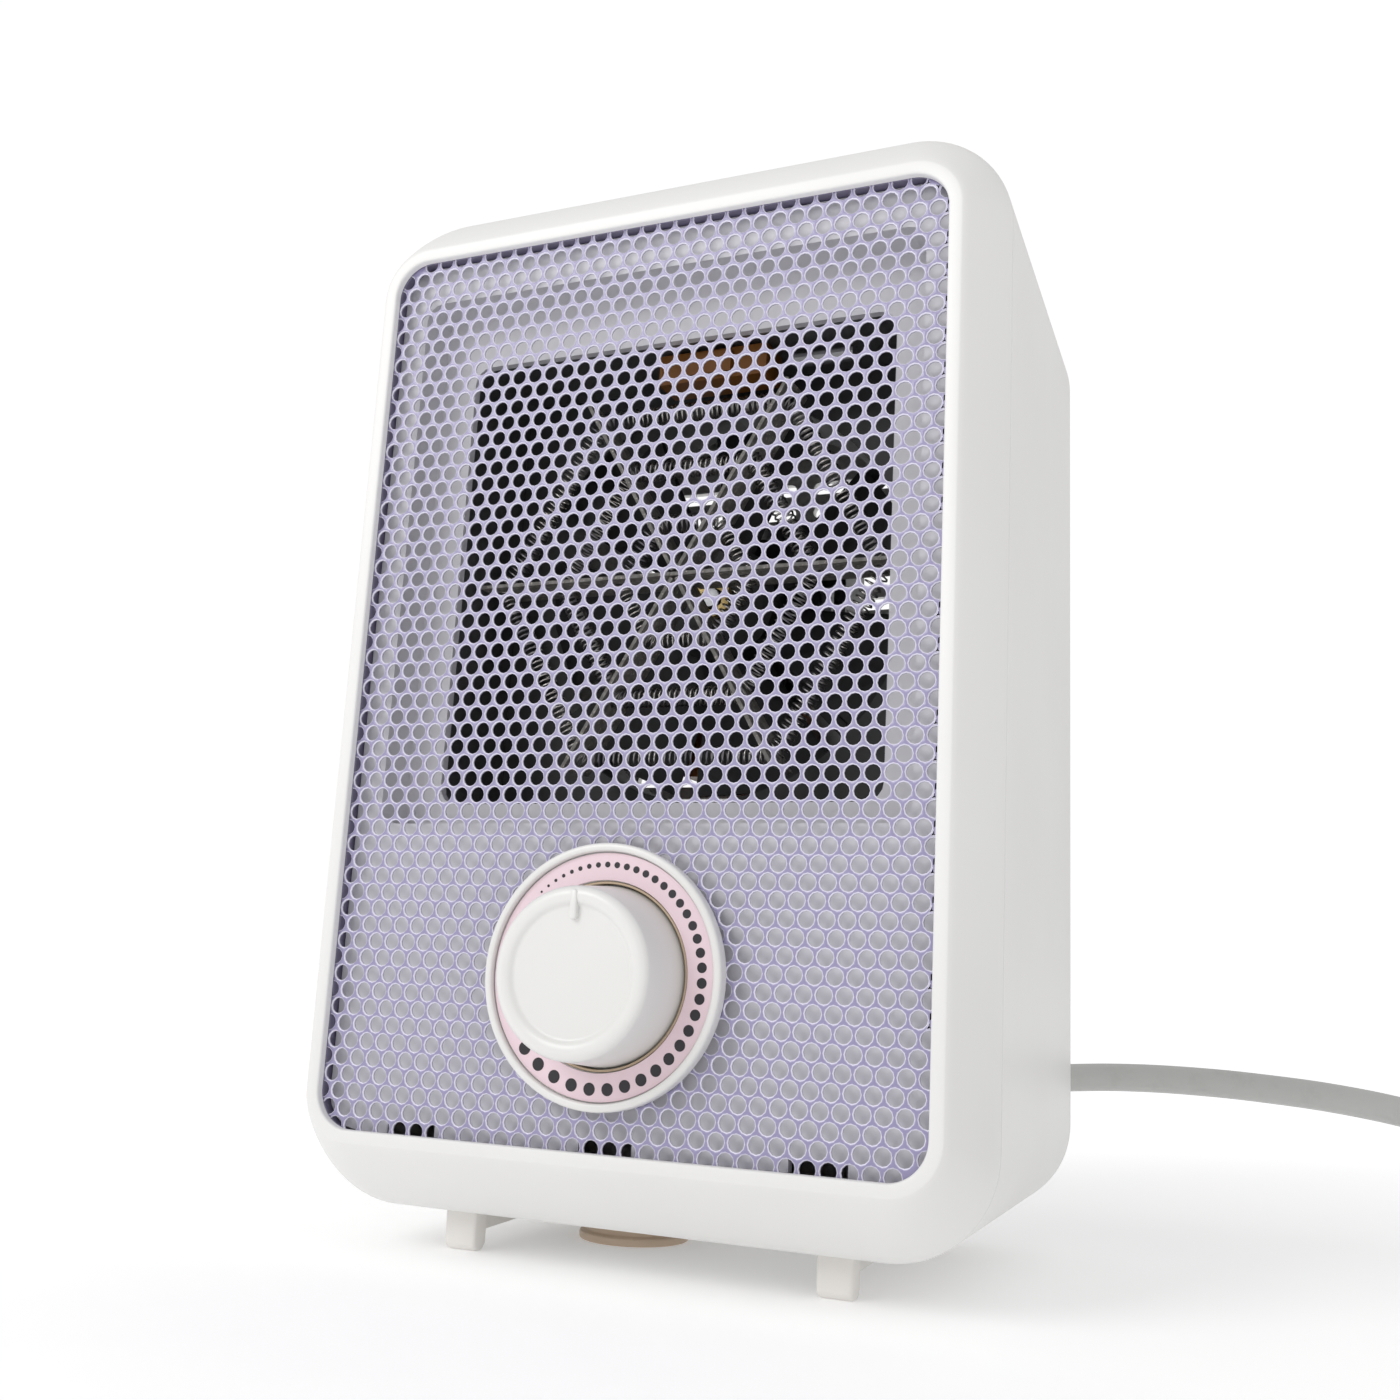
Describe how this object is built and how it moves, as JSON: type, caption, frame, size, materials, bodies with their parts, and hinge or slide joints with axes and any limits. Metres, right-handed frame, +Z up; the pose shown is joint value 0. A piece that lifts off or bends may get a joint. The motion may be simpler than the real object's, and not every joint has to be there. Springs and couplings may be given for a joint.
{
  "type": "fan heater",
  "caption": "Compact upright fan heater with a perforated metal front, a dial knob, an open-coil element, an axial fan and a tip-over switch.",
  "frame": {"origin": "on the floor under the middle of the casing and knob, cord left out", "axes": "+Z up, the perforated front faces -Y, +X to the right seen from the front"},
  "size_m": [0.3498, 0.1764, 0.2355],
  "materials": {
    "casing": "fine satin moulded off-white plastic",
    "inner_panel": "satin moulded light grey plastic",
    "mesh": "lilac powder coat on perforated steel",
    "dial_white": "smooth white moulded plastic",
    "dial_print": "pale pink printed foil with dark dots",
    "foot": "satin cream plastic",
    "pad": "satin beige plastic",
    "lead": "smooth light grey PVC",
    "tie": "dark soft strap",
    "mica": "layered grey mica sheet",
    "element": "drawn resistance wire",
    "steel": "zinc-coated steel",
    "phenolic": "brown pressed phenolic",
    "fan": "dark heat-resistant plastic",
    "copper": "varnished copper winding",
    "brass": "plain brass",
    "wire_red": "silicone insulation",
    "wire_white": "silicone insulation"
  },
  "bodies": {
    "root": {"front_frame": "casing", "rear_casing": "casing", "mesh_panel": "mesh", "duct_panel": "inner_panel", "heater_duct": "steel", "mica_board_level": "mica", "mica_board_rising": "mica", "mica_board_falling": "mica", "element_inner": "element", "element_middle": "element", "element_outer": "element", "thermal_cutout": "phenolic", "thermal_fuse": "copper", "fan_shroud": "fan", "motor_stator": "steel", "motor_winding": "copper", "motor_front_bracket": "steel", "motor_rear_bracket": "steel", "dial_ring": "dial_white", "dial_disc": "dial_print", "thermostat_nut": "brass", "thermostat_body": "phenolic", "casing_screw_1": "steel", "casing_screw_2": "steel", "casing_screw_3": "steel", "casing_screw_4": "steel", "foot_left": "foot", "foot_right": "foot", "tip_guide": "inner_panel", "tip_spring": "steel", "tip_switch": "fan", "tip_switch_button": "pad", "terminal_block": "inner_panel", "cord_clamp": "inner_panel", "strain_relief": "lead", "cord_lead": "lead", "cord": "lead", "cord_coil": "lead", "cord_tail": "lead", "cord_tie": "tie", "plug_body": "lead", "plug_pin_left": "brass", "plug_pin_right": "brass", "wire_live": "wire_red", "wire_neutral": "wire_white", "wire_element": "wire_red"},
    "dial": {"dial_knob": "dial_white", "thermostat_shaft": "steel"},
    "rotor": {"fan_impeller": "fan", "fan_nut": "brass", "motor_shaft": "steel", "motor_rotor": "steel"},
    "tip_pad": {"tip_plunger": "pad"}
  },
  "joints": [
    {"name": "dial_turn", "type": "hinge", "parent": "root", "child": "dial", "pos_m": [-0.0005, -0.04396, 0.05882], "axis": [0, 0.9996, -0.0279], "range_deg": [-44, 233]},
    {"name": "fan_spin", "type": "hinge", "parent": "root", "child": "rotor", "pos_m": [0, 0.00747, 0.14527], "axis": [0, 0.9996, -0.0279], "continuous": true},
    {"name": "tip_slide", "type": "slide", "parent": "root", "child": "tip_pad", "axis": [0, 0, -1], "range_m": [0, 0.004], "stiffness_N_per_m": 40, "springref_m": 0.008, "deforming": ["tip_spring"]}
  ]
}
